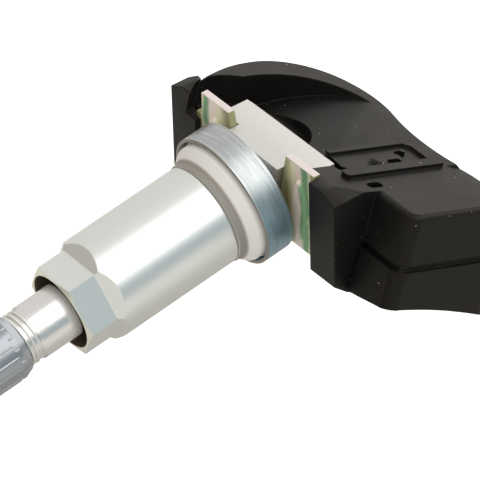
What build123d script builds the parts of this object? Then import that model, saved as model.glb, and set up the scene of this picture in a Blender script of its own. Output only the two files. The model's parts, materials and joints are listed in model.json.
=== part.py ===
from build123d import *
from math import cos, radians, sin, sqrt, tan
import os

os.makedirs("parts", exist_ok=True)

# Tyre pressure sensor with a clamp-in valve. Sizes in mm, +Z up.
# The valve axis is the Y axis and the valve points along -Y. Y = 0 is the steel ring's front rim.

# Tilts about X of the seat for the valve head and of the sensor housing, in degrees
seat_tilt = 10.3
house_tilt = 30.0

# Valve stem
stem_len = 45.2
stem_r = 3.98
thread_r = 3.70
thread_len = 11.6
bore_r = 1.5

# Valve core
plug_r = 2.55
plug_len = 3.2
plug_sink = 0.5
plug_gap = 0.05
barrel_r = 1.7
barrel_len = 7.0
core_room_r = 2.1
spring_room_r = 1.35
spring_room_len = 6.3
pin_r = 0.65
pin_gap = 0.07
pin_sink = 0.2
pin_collar_r = 1.2
pin_collar_t = 0.5
pin_collar_in = 1.2
cup_r = 1.6
cup_len = 2.0
cup_room = 4.5
spring_wire = 0.22
spring_pitch = 1.35

# Valve cap
cap_cover = 9.4
cap_gap = 0.25
cap_wall = 0.77
cap_end = 2.6
cap_seal_t = 1.0
cap_taper = 1.2
cap_bevel = 1.0
grip_count = 16
grip_size = 0.36

# Collar nut and its slip washer
nut_thread_r = 4.90
nut_gap = 0.08
nut_len = 24.85
mouth_step = 0.88
mouth_len = 7.45
hex_wall = 0.22
flat_len = 4.5
sleeve_step = 1.52
washer_t = 0.9
washer_w = 0.8

# Sealing grommet and steel ring
ring_step = 2.43
ring_len = 4.3
ring_wall = 0.5
ring_floor = 1.3
grommet_gap = 0.15
grommet_proud = 0.67
cone_len = 1.26
neck_len = 1.17
neck_step = 0.38
nose_len = 3.5
nose_wall = 0.7
flange_in = 1.65
flange_t = 0.4

# Valve head, its neck and the clip, measured in the seat frame
clip_gap = 1.9
clip_thick = 1.1
clip_half = 12.35
clip_over = 2.2
clip_under = 0.5
ear_out = 1.2
ear_top = 4.8
ear_gap = 0.15
slot_gap = 0.25
rib_w = 1.6
rib_len = 5.2
rib_z = 1.0
rib_up = 0.5
neck_r = 4.4
neck_top_half = 5.7
head_half = 9.5
head_gap = 0.15
head_deep = 5.05
head_top = 6.3
head_bottom = -5.0
head_bevel = 0.65
head_groove = 0.3
head_groove_z = 5.2

# Lugs beside the valve head, measured in the seat frame
lug_proud = 1.05
lug_side_gap = 0.15
lug_w = 5.4
lug_bevel_w = 2.5
lug_bevel_h = 1.15
lug_below_clip = 0.3
pocket_gap = 0.5
pocket_side_gap = 0.7

# Sensor housing, measured in the housing frame
wall = 1.3
roof = 1.6
top_z = 10.2
seam_z = 2.6
seam_lip = 0.8
under_z = -5.85
under_r = 120.0
under_slope = 7.5
arch_r = 90.0
arch_mid = 5.5
lug_foot_z = -4.45
bridge_bottom = -6.4
bridge_wall = 0.3
box_ahead = 6.65
box_out = 7.9
wing_out = 1.55
wing_ahead = 3.4
wing_front_in = 3.0
notch_z = 5.0
notch_w = 1.2
notch_deep = 0.5
notch_gap = 0.45
cover_out = 0.4
cover_in = 0.85
cover_gap = 0.2
corner_r = 2.0
rear_corner_r = 3.0
top_bevel = 0.75
floor_rise_x = 0.21
floor_rise_y = 0.247
rail_in = 13.3
rail_w = 1.7
rail_len = 18.0
rail_up = 0.6
panel_w = 5.4
panel_sink = 0.5
panel_end_in = 5.3
panel_corner = 0.9
port_len = 2.4
port_w = 0.9
mound_len = 6.2
mound_w = 3.6
mound_up = 0.35
peg_r = 0.4
peg_up = 0.1
dimple_r = 0.8
dimple_deep = 0.3
tail_len = 4.2
tail_slope = 12.0
shoulder_in = 10.3
shoulder_drop = 0.9
hip_in = 26.0
hip_drop = 0.5
wing_in = 7.45
wing_drop = 0.95
tip_drop = 11.9
ridge_w = 4.75
ridge_drop = 11.3
ridge_end_in = 15.45
ridge_end_w = 2.2
relief_x = -7.4
relief_r = 8.8
relief_deep = 0.9

# Inside the housing
board_z = 0.9
board_t = 1.0
board_gap = 0.1
ledge = 1.0
cell_r = 8.0
cell_t = 3.2
cell_gap = 0.4
tab_len = 9.0
tab_t = 0.25
tab_w = 3.0
tab_side_w = 2.6
tab_side_in = 2.8
chip_len = 7.0
chip_w = 5.0
chip_h = 1.6
chip_in = 3.3
crystal_len = 3.2
crystal_w = 2.5
crystal_h = 0.8
crystal_in = 7.4
coil_len = 6.0
coil_w = 2.8
coil_h = 2.0
coil_in = 5.7
coil_back = 3.6
gasket_w = 3.2
gasket_hole = 1.6

# Places along the valve axis
tip_y = -stem_len
thread_end_y = tip_y + thread_len
cap_rim_y = tip_y + cap_cover
cap_roof_y = tip_y - cap_seal_t
cap_end_y = cap_roof_y - cap_end
plug_y = tip_y + plug_sink
barrel_y = plug_y + plug_len
spring_floor_y = plug_y + spring_room_len
cup_y = barrel_y + barrel_len
collar_y = plug_y + pin_collar_in
cup_end_y = cup_y + cup_len
core_room_end_y = cup_end_y + cup_room
face_y = -grommet_proud
neck_y = face_y - cone_len
nut_back_y = neck_y - neck_len
nut_front_y = nut_back_y - nut_len
shank_end_y = nut_front_y + mouth_len
flat_end_y = nut_front_y + flat_len
nose_y = nut_back_y - nose_len
washer_y = nose_y - 0.05

# Radii about the valve axis
cap_bore_r = thread_r + cap_gap
cap_r = cap_bore_r + cap_wall
washer_in_r = nut_thread_r + 0.15
recess_r = washer_in_r + washer_w + 0.1
mouth_r = nut_thread_r + mouth_step
hex_half = mouth_r + hex_wall
sleeve_r = hex_half + sleeve_step
runout_rise = sleeve_step + 0.23
ring_r = sleeve_r + ring_step
grommet_r = ring_r - ring_wall - grommet_gap
grommet_neck_r = sleeve_r + neck_step
flange_r = ring_r - flange_in

# Places in the seat frame
clip_front = ring_len + clip_gap
clip_back = clip_front + clip_thick
clip_top = head_top + clip_over
clip_bottom = head_bottom - clip_under
head_front = clip_back + head_gap
head_back = head_front + head_deep
neck_axis = clip_front * tan(radians(seat_tilt))
lug_front = clip_front - lug_proud
lug_gap = clip_half + lug_side_gap
lug_half = lug_gap + lug_w
lug_top = clip_top - lug_below_clip
pocket_back = head_back + pocket_gap
pocket_right = head_half + pocket_side_gap

# Places in the housing frame
lean = radians(house_tilt - seat_tilt)


def house_depth(seat_depth, z):
    return (seat_depth - z * sin(lean)) / cos(lean)


lug_foot = house_depth(lug_front, lug_foot_z)
bridge_back = house_depth(pocket_back, bridge_bottom) + bridge_wall
front_y = bridge_back - box_ahead
rear_y = front_y + 2 * (cell_r + cell_gap + wall) + 0.65
right_x = lug_half + box_out
wing_x = lug_half + wing_out
wing_front = (-wing_x + wing_front_in, front_y - wing_ahead)
left_rear = wing_front[1] - notch_deep - notch_gap
rail_x = right_x - rail_in
panel_x = rail_x - panel_w
scoop_x = panel_x - 0.9
port_y = front_y + 8.4
cell_x = right_x - wall - cell_r - 0.1
cell_y = (front_y + rear_y) / 2 - 0.3
cell_roof_z = top_z - roof
cell_z = cell_roof_z - 0.3 - tab_t - cell_t
board_top = board_z + board_t
room_z = board_top + coil_h + 0.3
tray_left = -wing_x + 3.15
tray_right = right_x - wall + 0.1
tray_front = bridge_back + 1.6
tray_rear = rear_y - 2.4
tray_notch_x = lug_half + 1.5
tray_notch_y = front_y + wall + 0.15
up = (0, sin(radians(house_tilt)), cos(radians(house_tilt)))
back = (0, cos(radians(house_tilt)), -sin(radians(house_tilt)))


def tilted(deg):
    return Plane(origin=(0, 0, 0), x_dir=(1, 0, 0), z_dir=(0, sin(radians(deg)), cos(radians(deg))))


def side_of(deg):
    return Plane(origin=(0, 0, 0), x_dir=(0, cos(radians(deg)), -sin(radians(deg))), z_dir=(1, 0, 0))


def face_of(deg, depth):
    inward = (0, cos(radians(deg)), -sin(radians(deg)))
    start = (0, depth * inward[1], depth * inward[2])
    return Plane(origin=start, x_dir=(1, 0, 0), z_dir=(0, -inward[1], -inward[2]))


def in_house(x, y, z):
    return (x, y * back[1] + z * up[1], y * back[2] + z * up[2])


def rear_edge(out, inset, end):
    # right side, rear corner and curved rear edge of the housing, as tangent arcs up to the given end
    side_x = right_x + out
    corner_y = front_y - out + corner_r
    RadiusArc((side_x - corner_r, front_y - out), (side_x, corner_y), -corner_r)
    Line((side_x, corner_y), (side_x, rear_y - rear_corner_r))
    start = (side_x - rear_corner_r, rear_y)
    shoulder = (right_x - shoulder_in, rear_y - shoulder_drop - inset / 2)
    hip = (right_x - hip_in, rear_y - hip_drop - inset)
    wing_rear = (-wing_x + wing_in, rear_y - wing_drop - inset)
    wing_tip = (-wing_x + inset, rear_y - tip_drop)
    RadiusArc((side_x, rear_y - rear_corner_r), start, -rear_corner_r)
    bend = TangentArc(start, shoulder, tangent=(-1, 0))
    bend = TangentArc(shoulder, hip, tangent=bend % 1)
    bend = TangentArc(hip, wing_rear, tangent=bend % 1)
    bend = TangentArc(wing_rear, wing_tip, tangent=bend % 1)
    TangentArc(wing_tip, end, tangent=bend % 1)


def board_plan(inset):
    # outline of the circuit board's tray, drawn smaller all round by the inset
    Polygon(
        (tray_left, tray_front),
        (tray_notch_x, tray_front),
        (tray_notch_x, tray_notch_y),
        (tray_right, tray_notch_y),
        (tray_right, tray_rear),
        (tray_left + 5.3, tray_rear - 0.6),
        (tray_left, tray_rear - 6.0),
        align=None,
    )
    if inset:
        offset(amount=-inset, kind=Kind.INTERSECTION)


house = tilted(house_tilt)
house_side = side_of(house_tilt)
seat_side = side_of(seat_tilt)

# Valve cap, with shallow grip grooves and a tapered rim
with BuildPart() as valve_cap:
    with BuildSketch(Plane.XY):
        with BuildLine():
            Polyline(
                (cap_bore_r, cap_rim_y),
                (cap_bore_r + 0.25, cap_rim_y),
                (cap_r, cap_rim_y - cap_taper),
                (cap_r, cap_end_y + cap_bevel),
                (cap_r - cap_bevel, cap_end_y),
                (0, cap_end_y),
                (0, cap_roof_y),
                (cap_bore_r, cap_roof_y),
                close=True,
            )
        make_face()
    revolve(axis=Axis.Y)
    for k in range(grip_count):
        turn = radians(360 / grip_count * k)
        spot = (cap_r * cos(turn), cap_end_y + cap_bevel, cap_r * sin(turn))
        with BuildSketch(Plane(origin=spot, x_dir=(cos(turn), 0, sin(turn)), z_dir=(0, 1, 0))):
            Rectangle(grip_size, grip_size, rotation=45)
        extrude(amount=cap_rim_y - 1.5 * cap_taper - cap_end_y - cap_bevel, mode=Mode.SUBTRACT)
valve_cap.part.label = "valve_cap"
export_step(valve_cap.part, "parts/valve_cap.step")

# Rubber ring inside the cap, against the stem's tip
with BuildPart() as cap_seal:
    with BuildSketch(Plane.XY):
        with BuildLine():
            Polyline(
                (plug_r - 0.85, tip_y),
                (cap_bore_r - 0.05, tip_y),
                (cap_bore_r - 0.05, cap_roof_y),
                (plug_r - 0.85, cap_roof_y),
                close=True,
            )
        make_face()
    revolve(axis=Axis.Y)
cap_seal.part.label = "cap_seal"
export_step(cap_seal.part, "parts/cap_seal.step")

# Valve stem in one piece with its collar, neck and T-shaped head
with BuildPart() as valve_stem:
    with BuildSketch(Plane.XY):
        with BuildLine():
            Polyline(
                (0, tip_y),
                (thread_r - 0.5, tip_y),
                (thread_r, tip_y + 0.5),
                (thread_r, thread_end_y),
                (stem_r, thread_end_y + 0.4),
                (stem_r, shank_end_y),
                (nut_thread_r, shank_end_y + 0.9),
                (nut_thread_r, ring_len),
                (flange_r, ring_len),
                (flange_r, ring_len + flange_t),
                (neck_r, ring_len + flange_t + 0.5),
                (neck_r, head_front + 1.5),
                (0, head_front + 1.5),
                close=True,
            )
        make_face()
    revolve(axis=Axis.Y)
    # neck with slanted sides, through the clip's slot
    with BuildSketch(face_of(seat_tilt, ring_len + flange_t + 0.5)):
        with BuildLine():
            sides = Polyline(
                (-neck_r, neck_axis),
                (-neck_top_half, head_top),
                (neck_top_half, head_top),
                (neck_r, neck_axis),
            )
            ThreePointArc(sides @ 1, (0, neck_axis - neck_r), sides @ 0)
        make_face()
    extrude(amount=-(head_front - ring_len))
    # head across the lugs
    with BuildSketch(face_of(seat_tilt, head_front)):
        with Locations((0, (head_top + head_bottom) / 2)):
            Rectangle(2 * head_half, head_top - head_bottom)
    extrude(amount=-head_deep)
    rear = valve_stem.faces().sort_by(Axis.Y)[-1]
    chamfer(rear.edges(), length=head_bevel)
    # fold line across the head's right end
    with BuildSketch(tilted(seat_tilt).offset(head_groove_z)):
        with Locations((head_half, head_front + head_deep / 2)):
            Rectangle(2 * head_groove, head_deep + 1)
    extrude(amount=head_groove, mode=Mode.SUBTRACT)
    # flat top of the collar behind the ring
    with BuildSketch(tilted(seat_tilt).offset(head_top)):
        with Locations((0, head_back / 2)):
            Rectangle(4 * flange_r, head_back + 4)
    extrude(amount=flange_r, mode=Mode.SUBTRACT)
    # air passage and core chamber
    with BuildSketch(Plane.XY):
        with BuildLine():
            Polyline(
                (0, tip_y),
                (plug_r + plug_gap, tip_y),
                (plug_r + plug_gap, barrel_y + 0.1),
                (core_room_r, barrel_y + 0.1),
                (core_room_r, core_room_end_y),
                (bore_r, core_room_end_y),
                (bore_r, head_back + 8),
                (0, head_back + 8),
                close=True,
            )
        make_face()
    revolve(axis=Axis.Y, mode=Mode.SUBTRACT)
valve_stem.part.label = "valve_stem"
export_step(valve_stem.part, "parts/valve_stem.step")

# Valve core: threaded plug and barrel
with BuildPart() as core_body:
    with BuildSketch(Plane.XY):
        with BuildLine():
            Polyline(
                (spring_room_r, plug_y),
                (plug_r, plug_y),
                (plug_r, barrel_y),
                (barrel_r, barrel_y),
                (barrel_r, cup_y),
                (pin_r + pin_gap, cup_y),
                (pin_r + pin_gap, spring_floor_y),
                (spring_room_r, spring_floor_y),
                close=True,
            )
        make_face()
    revolve(axis=Axis.Y)
core_body.part.label = "core_body"
export_step(core_body.part, "parts/core_body.step")

# Sealing sleeve of the core, round the barrel
with BuildPart() as core_seal:
    with BuildSketch(Plane.XY):
        with BuildLine():
            Polyline(
                (barrel_r + 0.02, barrel_y + 1.0),
                (core_room_r - 0.02, barrel_y + 1.0),
                (core_room_r - 0.02, barrel_y + 2.8),
                (barrel_r + 0.02, barrel_y + 2.8),
                close=True,
            )
        make_face()
    revolve(axis=Axis.Y)
core_seal.part.label = "core_seal"
export_step(core_seal.part, "parts/core_seal.step")

# Core pin with the collar that the spring pushes on
with BuildPart() as core_pin:
    with BuildSketch(Plane.XY):
        with BuildLine():
            Polyline(
                (0, tip_y + pin_sink),
                (pin_r, tip_y + pin_sink),
                (pin_r, collar_y),
                (pin_collar_r, collar_y),
                (pin_collar_r, collar_y + pin_collar_t),
                (pin_r, collar_y + pin_collar_t),
                (pin_r, cup_end_y + 0.2),
                (0, cup_end_y + 0.2),
                close=True,
            )
        make_face()
    revolve(axis=Axis.Y)
core_pin.part.label = "core_pin"
export_step(core_pin.part, "parts/core_pin.step")

# Rubber cup on the pin, shut against the barrel's end
with BuildPart() as core_cup:
    with BuildSketch(Plane.XY):
        with BuildLine():
            Polyline(
                (pin_r, cup_y),
                (cup_r, cup_y),
                (cup_r, cup_end_y - 0.4),
                (pin_r, cup_end_y),
                close=True,
            )
        make_face()
    revolve(axis=Axis.Y)
core_cup.part.label = "core_cup"
export_step(core_cup.part, "parts/core_cup.step")

# Core spring of square wire, between the pin's collar and the floor of the spring room
spring_start_y = collar_y + pin_collar_t + spring_wire / 2 + 0.01
spring_end_y = spring_floor_y - spring_wire / 2 - 0.01
with BuildPart() as core_spring:
    with BuildLine() as coil:
        Helix(
            pitch=spring_pitch,
            height=spring_end_y - spring_start_y,
            radius=(pin_r + spring_room_r) / 2,
            center=(0, spring_start_y, 0),
            direction=(0, 1, 0),
        )
    with BuildSketch(Plane(origin=coil.line @ 0, z_dir=coil.line % 0)):
        Rectangle(spring_wire, spring_wire)
    sweep(path=coil.line, is_frenet=True)
core_spring.part.label = "core_spring"
export_step(core_spring.part, "parts/core_spring.step")

# Collar nut: smooth sleeve, with six flats milled on its outer end
with BuildPart() as collar_nut:
    with BuildSketch(Plane.XY):
        with BuildLine():
            Polyline(
                (recess_r, nut_back_y),
                (sleeve_r, nut_back_y),
                (sleeve_r, nut_front_y + 1.2),
                (hex_half + 0.1, nut_front_y),
                (mouth_r, nut_front_y),
                (mouth_r, shank_end_y),
                (nut_thread_r + nut_gap, shank_end_y),
                (nut_thread_r + nut_gap, washer_y - washer_t - 0.05),
                (recess_r, washer_y - washer_t - 0.05),
                close=True,
            )
        make_face()
    revolve(axis=Axis.Y)
    reach = sleeve_r + 2
    ramp_y = flat_end_y + runout_rise * 1.08
    for k in range(6):
        turn = radians(30 + 60 * k)
        out = (cos(turn), 0, sin(turn))
        with BuildSketch(Plane(origin=(0, 0, 0), x_dir=out, z_dir=(-sin(turn), 0, cos(turn)))):
            with BuildLine():
                Polyline(
                    (hex_half, nut_front_y - 1),
                    (hex_half, flat_end_y),
                    (hex_half + runout_rise, ramp_y),
                    (reach, ramp_y),
                    (reach, nut_front_y - 1),
                    close=True,
                )
            make_face()
        extrude(amount=sleeve_r, both=True, mode=Mode.SUBTRACT)
collar_nut.part.label = "collar_nut"
export_step(collar_nut.part, "parts/collar_nut.step")

# Slip washer held in the nut's back recess
with BuildPart() as nut_washer:
    with BuildSketch(Plane.XY):
        with Locations((washer_in_r + washer_w / 2, washer_y - washer_t / 2)):
            Rectangle(washer_w, washer_t)
    revolve(axis=Axis.Y)
nut_washer.part.label = "nut_washer"
export_step(nut_washer.part, "parts/nut_washer.step")

# Sealing grommet, with a cone in front and a nose for the rim's hole
with BuildPart() as grommet:
    with BuildSketch(Plane.XY):
        with BuildLine():
            Polyline(
                (nut_thread_r, ring_len - ring_floor),
                (grommet_r, ring_len - ring_floor),
                (grommet_r, face_y),
                (grommet_neck_r, neck_y),
                (grommet_neck_r, nut_back_y),
                (nut_thread_r + nose_wall, nut_back_y),
                (nut_thread_r + nose_wall, nose_y),
                (nut_thread_r, nose_y),
                close=True,
            )
        make_face()
    revolve(axis=Axis.Y)
grommet.part.label = "grommet"
export_step(grommet.part, "parts/grommet.step")

# Steel ring, a cup that holds the grommet's flange
with BuildPart() as seat_ring:
    with BuildSketch(Plane.XY):
        with BuildLine():
            Polyline(
                (nut_thread_r, ring_len),
                (ring_r, ring_len),
                (ring_r, 0),
                (ring_r - ring_wall, 0),
                (ring_r - ring_wall, ring_len - ring_floor),
                (nut_thread_r, ring_len - ring_floor),
                close=True,
            )
        make_face()
    revolve(axis=Axis.Y)
seat_ring.part.label = "seat_ring"
export_step(seat_ring.part, "parts/seat_ring.step")

# Retaining clip, a plate with a slot open at the top and ears in the lugs
slot_r = neck_r + slot_gap
slot_top = neck_top_half + slot_gap + 0.6
with BuildPart() as retaining_clip:
    with BuildSketch(face_of(seat_tilt, clip_front)):
        with Locations((0, (clip_top + clip_bottom) / 2)):
            Rectangle(2 * clip_half, clip_top - clip_bottom)
        with Locations((0, (ear_top + clip_bottom) / 2)):
            Rectangle(2 * (clip_half + ear_out), ear_top - clip_bottom)
        with BuildLine():
            slot = Polyline(
                (-slot_r, neck_axis),
                (-slot_top, clip_top + 1),
                (slot_top, clip_top + 1),
                (slot_r, neck_axis),
            )
            ThreePointArc(slot @ 1, (0, neck_axis - slot_r), slot @ 0)
        make_face(mode=Mode.SUBTRACT)
    extrude(amount=-clip_thick)
    # pressed ribs beside the slot
    for s in (-1, 1):
        with BuildSketch(face_of(seat_tilt, clip_front + 0.01)):
            with Locations((s * ((slot_top + clip_half) / 2 - 0.15), rib_z)):
                Ellipse(rib_w, rib_len)
        extrude(amount=rib_up, taper=35)
retaining_clip.part.label = "retaining_clip"
export_step(retaining_clip.part, "parts/retaining_clip.step")

# Cutter: hollow behind the valve head, its floor rising to the right and to the rear
floor_at = in_house(5, front_y + 5.25, top_z - 1.2)
floor_n = (-floor_rise_x, up[1] - floor_rise_y * back[1], up[2] - floor_rise_y * back[2])
with BuildPart() as scoop:
    with BuildSketch(house.offset(-2)):
        with BuildLine():
            ridge_side = (-wing_x + ridge_w, rear_y - ridge_drop)
            ridge_end = (-wing_x + ridge_end_in, rear_y - ridge_end_w)
            edge = Polyline(
                ridge_end,
                (scoop_x, rear_y - ridge_end_w - 0.6),
                (scoop_x, lug_foot - 1),
                (-wing_x + ridge_w + 0.7, lug_foot - 1),
                (-wing_x + ridge_w + 0.2, front_y - 0.75),
            )
            side = ThreePointArc(edge @ 1, (-wing_x + ridge_w - 0.4, front_y + 3.75), ridge_side)
            TangentArc(ridge_side, ridge_end, tangent=side % 1)
        make_face()
    extrude(amount=top_z + 5)
    with BuildSketch(Plane(origin=floor_at, z_dir=floor_n)):
        Rectangle(6 * wing_x, 6 * wing_x)
    extrude(amount=3 * top_z, mode=Mode.INTERSECT)

# Lug block in front of the housing, across the valve head
with BuildPart() as lugs:
    with BuildSketch(face_of(seat_tilt, lug_front)):
        with BuildLine():
            Polyline(
                (-lug_half, 2 * under_z),
                (lug_half, 2 * under_z),
                (lug_half, lug_top - lug_bevel_h),
                (lug_half - lug_bevel_w, lug_top),
                (lug_bevel_w - lug_half, lug_top),
                (-lug_half, lug_top - lug_bevel_h),
                close=True,
            )
        make_face()
    extrude(amount=-2 * (pocket_back - lug_front))
    with BuildSketch(house_side):
        with BuildLine():
            Polyline(
                (-lug_foot, top_z),
                (bridge_back, top_z),
                (bridge_back, bridge_bottom),
                (front_y, lug_foot_z - 1.05),
                (lug_foot, lug_foot_z),
                (-lug_foot, lug_foot_z),
                close=True,
            )
        make_face()
    extrude(amount=lug_half + 1, both=True, mode=Mode.INTERSECT)
    # rear of the left lug, cut off at its corner, with the wing behind it
    with BuildSketch(house.offset(notch_z)):
        with BuildLine():
            Polyline(
                (-wing_x, left_rear),
                (-lug_half, left_rear),
                (notch_w - lug_half, left_rear + notch_deep),
                (-lug_gap, left_rear),
                (-lug_gap, 2 * bridge_back),
                (-wing_x, 2 * bridge_back),
                close=True,
            )
        make_face()
    extrude(amount=top_z, mode=Mode.SUBTRACT)

# Upper housing with lugs, hollow, panel and rail
with BuildPart() as upper_housing:
    with BuildSketch(house.offset(seam_z)):
        with BuildLine():
            Polyline(
                wing_front,
                (-lug_gap, wing_front[1]),
                (-lug_gap, front_y),
                (right_x - corner_r, front_y),
            )
            rear_edge(0, 0, wing_front)
        make_face()
    extrude(amount=top_z - seam_z)
    rim = upper_housing.faces().sort_by(Axis((0, 0, 0), up))[-1]
    chamfer(rim.edges(), length=top_bevel)
    add(lugs.part)
    # room for the valve head, and the clip in front of it
    for deep, right in ((pocket_back, pocket_right), (clip_back + 0.1, lug_gap)):
        with BuildSketch(seat_side.offset(-lug_gap)):
            with Locations((deep / 2, 0)):
                Rectangle(deep, 6 * top_z)
        extrude(amount=lug_gap + right, mode=Mode.SUBTRACT)
    # slots for the clip's ears, open at the bottom
    ear_slot = clip_half + ear_out + ear_gap
    with BuildSketch(seat_side.offset(-ear_slot)):
        with BuildLine():
            Polyline(
                (clip_front - 0.1, 2 * under_z),
                (clip_back + 0.1, 2 * under_z),
                (clip_back + 0.1, ear_top + ear_gap),
                (clip_front - 0.1, ear_top + ear_gap),
                close=True,
            )
        make_face()
    extrude(amount=2 * ear_slot, mode=Mode.SUBTRACT)
    add(scoop.part, mode=Mode.SUBTRACT)
    # curved relief in the hollow's floor, behind the valve head
    with BuildSketch(house.offset(top_z)):
        with Locations((relief_x, bridge_back + relief_deep - relief_r)):
            Circle(relief_r)
    extrude(amount=room_z + roof - top_z, mode=Mode.SUBTRACT)
    # chamber for the cell and its tabs
    with BuildSketch(house.offset(seam_z)):
        with Locations((cell_x, cell_y)):
            Circle(cell_r + cell_gap - 0.2)
        with Locations((cell_x + cell_r / 2, cell_y + cell_r - tab_side_in)):
            Rectangle(cell_r + 0.2, tab_w + 0.4)
    extrude(amount=cell_roof_z - seam_z, mode=Mode.SUBTRACT)
    # room over the chip and the coil
    with BuildSketch(house.offset(seam_z)):
        with BuildLine():
            Polyline(
                (panel_x + 1.7, tray_front),
                (panel_x + 1.7, tray_rear - 0.6),
                (tray_left + 5.3, tray_rear - 0.6),
                (tray_left, tray_rear - 6.0),
                (tray_left, tray_front),
                close=True,
            )
        make_face()
    extrude(amount=room_z - seam_z, mode=Mode.SUBTRACT)
    # sloped tail of the box top
    tail_y = rear_y - tail_len
    with BuildSketch(house_side.offset(rail_x + rail_w)):
        with BuildLine():
            Polyline(
                (tail_y, top_z),
                (tail_y + 2 * tail_len, top_z - 2 * tail_len * tan(radians(tail_slope))),
                (tail_y + 2 * tail_len, top_z),
                close=True,
            )
        make_face()
    extrude(amount=right_x, mode=Mode.SUBTRACT)
    # sunk panel with a raised rail beside it
    panel_end = rear_y - panel_end_in
    with BuildSketch(house.offset(top_z)):
        with BuildLine():
            Polyline(
                (panel_x, front_y - 0.5),
                (pocket_right, front_y - 0.5),
                (rail_x, front_y + 2.25),
                (rail_x, panel_end),
                (panel_x + panel_corner, panel_end),
                (panel_x, panel_end - panel_corner),
                close=True,
            )
        make_face()
    extrude(amount=-panel_sink, mode=Mode.SUBTRACT)
    with BuildSketch(house.offset(top_z - 0.2)):
        with Locations((rail_x + rail_w / 2, front_y + rail_len / 2 - 2.25)):
            RectangleRounded(rail_w, rail_len, 0.6)
    extrude(amount=rail_up + 0.2)
    # mound beside the rail, with the pressure port in its flank
    port_x = rail_x - 0.85
    with BuildSketch(house.offset(top_z - panel_sink)):
        with Locations((port_x - 0.8, port_y - 0.4)):
            SlotOverall(mound_len, mound_w, rotation=90)
    extrude(amount=panel_sink + mound_up, taper=45)
    with BuildSketch(house.offset(top_z + 1)):
        with Locations((port_x, port_y)):
            SlotOverall(port_len, port_w, rotation=90)
    extrude(amount=-(roof + 2), mode=Mode.SUBTRACT)
    # peg in a dimple
    with BuildSketch(house.offset(top_z - panel_sink)):
        with Locations((port_x - 2.85, port_y + 3.7)):
            Circle(dimple_r)
    extrude(amount=-dimple_deep, mode=Mode.SUBTRACT)
    with BuildSketch(house.offset(top_z - panel_sink - dimple_deep)):
        with Locations((port_x - 2.65, port_y + 3.9)):
            Circle(peg_r)
    extrude(amount=dimple_deep + panel_sink + peg_up)
    # blind hole and slot near the right lug
    with BuildSketch(house.offset(top_z + 1)):
        with Locations((rail_x - 1.6, front_y - 0.4)):
            Circle(1.2)
        with Locations((rail_x + 3.9, front_y + 0.85)):
            SlotOverall(2.6, 1.4, rotation=90)
    extrude(amount=-3, mode=Mode.SUBTRACT)
upper_housing.part.label = "upper_housing"
export_step(upper_housing.part, "parts/upper_housing.step")

# Cutter: all above the underside, which curves across the housing and arches along it
under_mid_z = under_z - arch_mid * tan(radians(under_slope))
under = Plane(
    origin=in_house((right_x - wing_x) / 2, front_y + arch_mid, under_mid_z),
    x_dir=(1, 0, 0),
    z_dir=(0, -cos(radians(house_tilt + under_slope)), sin(radians(house_tilt + under_slope))),
)
under_half = 2 * wing_x
under_sag = under_r - sqrt(under_r**2 - under_half**2)
arch_turn = 40.0
with BuildPart() as above:
    with BuildSketch(under) as section:
        with BuildLine():
            lid = Polyline(
                (-under_half, under_sag),
                (-under_half, 2 * top_z),
                (under_half, 2 * top_z),
                (under_half, under_sag),
            )
            ThreePointArc(lid @ 1, (0, 0), lid @ 0)
        make_face()
    pivot = under.from_local_coords((0, -arch_r, 0))
    for way in (-1, 1):
        revolve(section.sketch, axis=Axis(pivot, (way, 0, 0)), revolution_arc=arch_turn)

# Lower cover, with a curved underside and an open tray inside
cover_left = -wing_x + cover_in
cover_front = bridge_back + cover_gap
cover_notch = lug_half + cover_gap
with BuildPart() as lower_cover:
    with BuildSketch(house.offset(seam_z - seam_lip)):
        with BuildLine():
            Polyline(
                (cover_left, cover_front),
                (cover_notch, cover_front),
                (cover_notch, front_y - cover_out),
                (right_x + cover_out - corner_r, front_y - cover_out),
            )
            rear_edge(cover_out, cover_in / 2, (cover_left, cover_front))
        make_face()
    extrude(amount=-(seam_z - 2 * under_z))
    # lip under the seam
    with BuildSketch(house.offset(seam_z - seam_lip)):
        board_plan(-0.9)
    extrude(amount=seam_lip)
    add(above.part, mode=Mode.INTERSECT)
    # tray with a ledge for the board
    with BuildSketch(house.offset(seam_z + 0.1)):
        board_plan(0)
    extrude(amount=-(seam_z + 0.1 - board_z), mode=Mode.SUBTRACT)
    with BuildSketch(house.offset(board_z + 0.1)):
        board_plan(ledge)
    extrude(amount=-(board_z + 0.1 - under_z - 2.35), mode=Mode.SUBTRACT)
lower_cover.part.label = "lower_cover"
export_step(lower_cover.part, "parts/lower_cover.step")

# Circuit board on the tray's ledge
with BuildPart() as circuit_board:
    with BuildSketch(house.offset(board_z)):
        board_plan(board_gap)
    extrude(amount=board_t)
circuit_board.part.label = "circuit_board"
export_step(circuit_board.part, "parts/circuit_board.step")

# Coin cell in the housing's chamber
with BuildPart() as coin_cell:
    with BuildSketch(house.offset(cell_z)):
        with Locations((cell_x, cell_y)):
            Circle(cell_r)
    extrude(amount=cell_t)
coin_cell.part.label = "coin_cell"
export_step(coin_cell.part, "parts/coin_cell.step")

# Welded tab from the cell's lower face to the board
tab_foot_x = cell_x - cell_r / 2 + 2 * tab_t
with BuildPart() as tab_negative:
    with BuildSketch(house.offset(cell_z - tab_t)):
        with Locations((tab_foot_x + tab_len / 2, cell_y)):
            Rectangle(tab_len, tab_w)
    extrude(amount=tab_t)
    with BuildSketch(house.offset(board_top)):
        with Locations((tab_foot_x + tab_t / 2, cell_y)):
            Rectangle(tab_t, tab_w)
    extrude(amount=cell_z - board_top)
tab_negative.part.label = "tab_negative"
export_step(tab_negative.part, "parts/tab_negative.step")

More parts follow.
